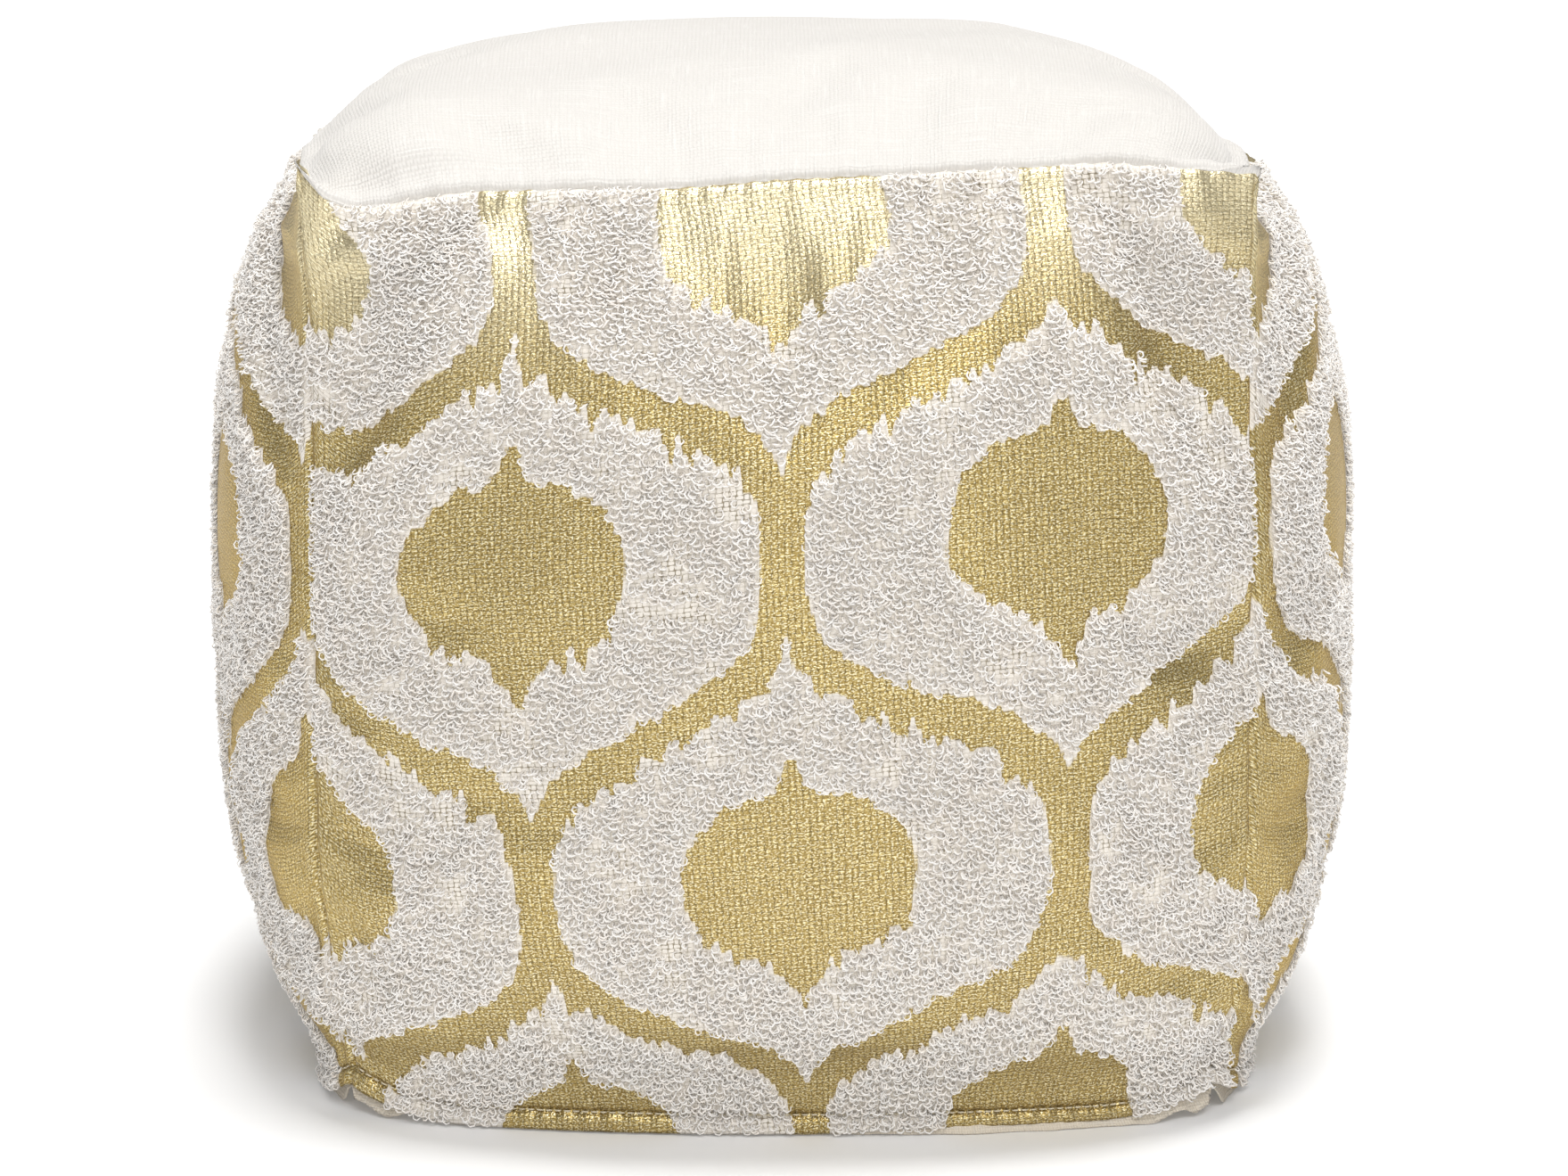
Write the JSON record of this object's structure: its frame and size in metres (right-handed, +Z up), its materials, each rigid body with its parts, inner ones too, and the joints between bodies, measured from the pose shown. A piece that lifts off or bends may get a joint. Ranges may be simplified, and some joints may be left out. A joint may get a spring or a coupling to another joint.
{
  "type": "fabric cube pouf",
  "caption": "Soft cube-shaped floor pouf with a domed plain top, swollen patterned pile sides, a flanged base hem and a zip hidden in the base.",
  "frame": {"origin": "centre of the base, on the floor plane", "axes": "+Z up, -Y towards the front side, +X towards the right side and along the base zip"},
  "size_m": [0.562, 0.562, 0.492],
  "materials": {
    "top_cotton": "matte slub-weave cotton, ivory",
    "side_fabric": "basket weave with gold foil print and white loop pile",
    "base_cotton": "matte plain-weave cotton, cream",
    "thread": "spun sewing thread",
    "zip_tape": "woven polyester tape",
    "zip_teeth": "moulded teeth",
    "zip_metal": "nickel-plated",
    "liner_fabric": "plain non-woven cloth, white",
    "bead_fill": "expanded polystyrene beads"
  },
  "bodies": {
    "root": {"top_panel": "top_cotton", "front_panel": "side_fabric", "right_panel": "side_fabric", "back_panel": "side_fabric", "left_panel": "side_fabric", "base_panel_front": "base_cotton", "base_panel_rear": "base_cotton", "base_hem_tape": "base_cotton", "top_seam_thread": "thread", "corner_seam_threads": "thread", "base_topstitch_thread": "thread", "zip_tape_front": "zip_tape", "zip_tape_rear": "zip_tape", "zip_teeth_front": "zip_teeth", "zip_teeth_rear": "zip_teeth", "zip_bottom_stop": "zip_metal", "zip_top_stops": "zip_metal", "zip_stitching": "thread", "liner_top": "liner_fabric", "liner_front": "liner_fabric", "liner_right": "liner_fabric", "liner_back": "liner_fabric", "liner_left": "liner_fabric", "liner_base": "liner_fabric", "liner_seam_threads": "thread", "liner_closing_thread": "thread", "bead_fill": "bead_fill"},
    "zip_slider": {"zip_slider": "zip_metal"},
    "zip_pull": {"zip_pull": "zip_metal"}
  },
  "joints": [
    {"name": "zip_slide", "type": "slide", "parent": "root", "child": "zip_slider", "axis": [-1, 0, 0], "range_m": [0, 0.354], "deforming": ["zip_teeth_front", "zip_teeth_rear"]},
    {"name": "zip_pull_hinge", "type": "hinge", "parent": "zip_slider", "child": "zip_pull", "pos_m": [0.178, 0, 0.0021], "axis": [0, -1, 0], "range_deg": [0, 170]}
  ]
}
